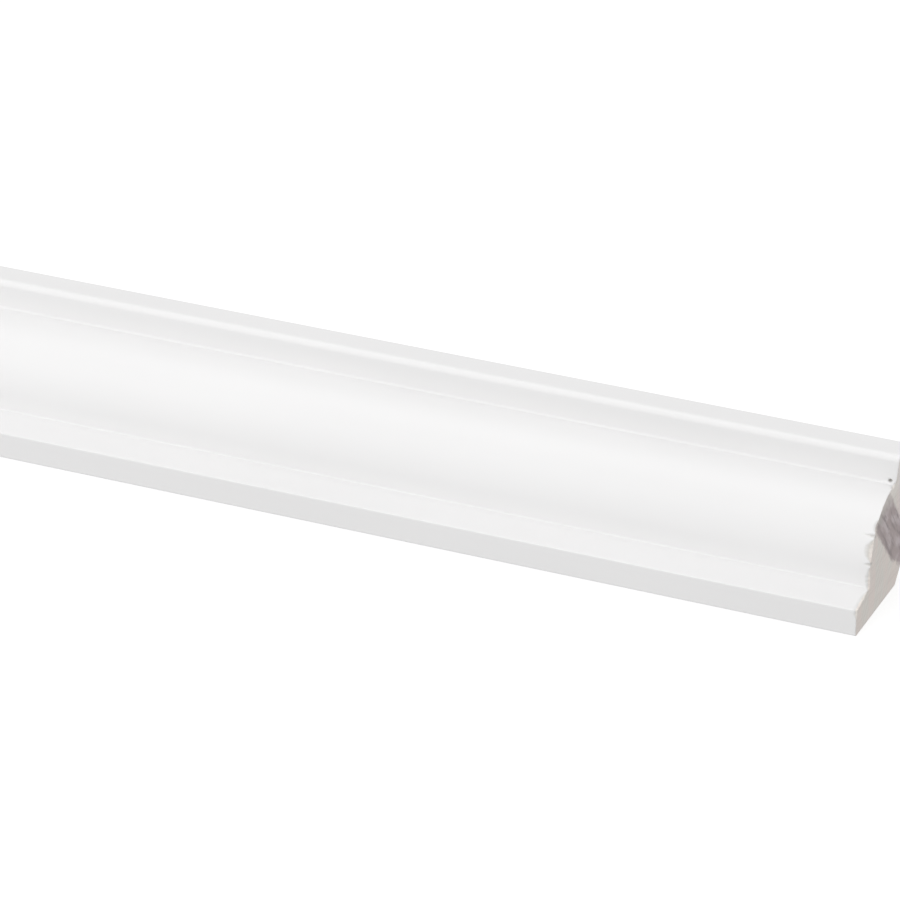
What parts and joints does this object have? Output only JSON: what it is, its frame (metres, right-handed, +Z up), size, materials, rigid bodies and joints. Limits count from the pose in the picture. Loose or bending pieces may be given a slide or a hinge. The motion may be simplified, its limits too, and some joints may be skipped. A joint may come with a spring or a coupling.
{
  "type": "crown moulding length",
  "caption": "Straight length of white-primed pine crown moulding with an upright edge, sloped ledge, ovolo and top fillet, for covering the joint between a wall and a ceiling",
  "frame": {"origin": "Middle of the underside of the bounding box, on the plane the ceiling leg lies on.", "axes": "+X runs along the moulding to the sawn end with the tear-outs; +Y points out of the wall leg, so the moulded face looks to -Y; +Z points up from the ceiling leg, which is down as it lies and up once it is fitted."},
  "size_m": [0.32, 0.04, 0.045],
  "materials": {
    "primed_pine": "satin white primer on pine, with raw saw-cut ends"
  },
  "bodies": {
    "root": {"crown_moulding": "primed_pine"}
  },
  "joints": []
}
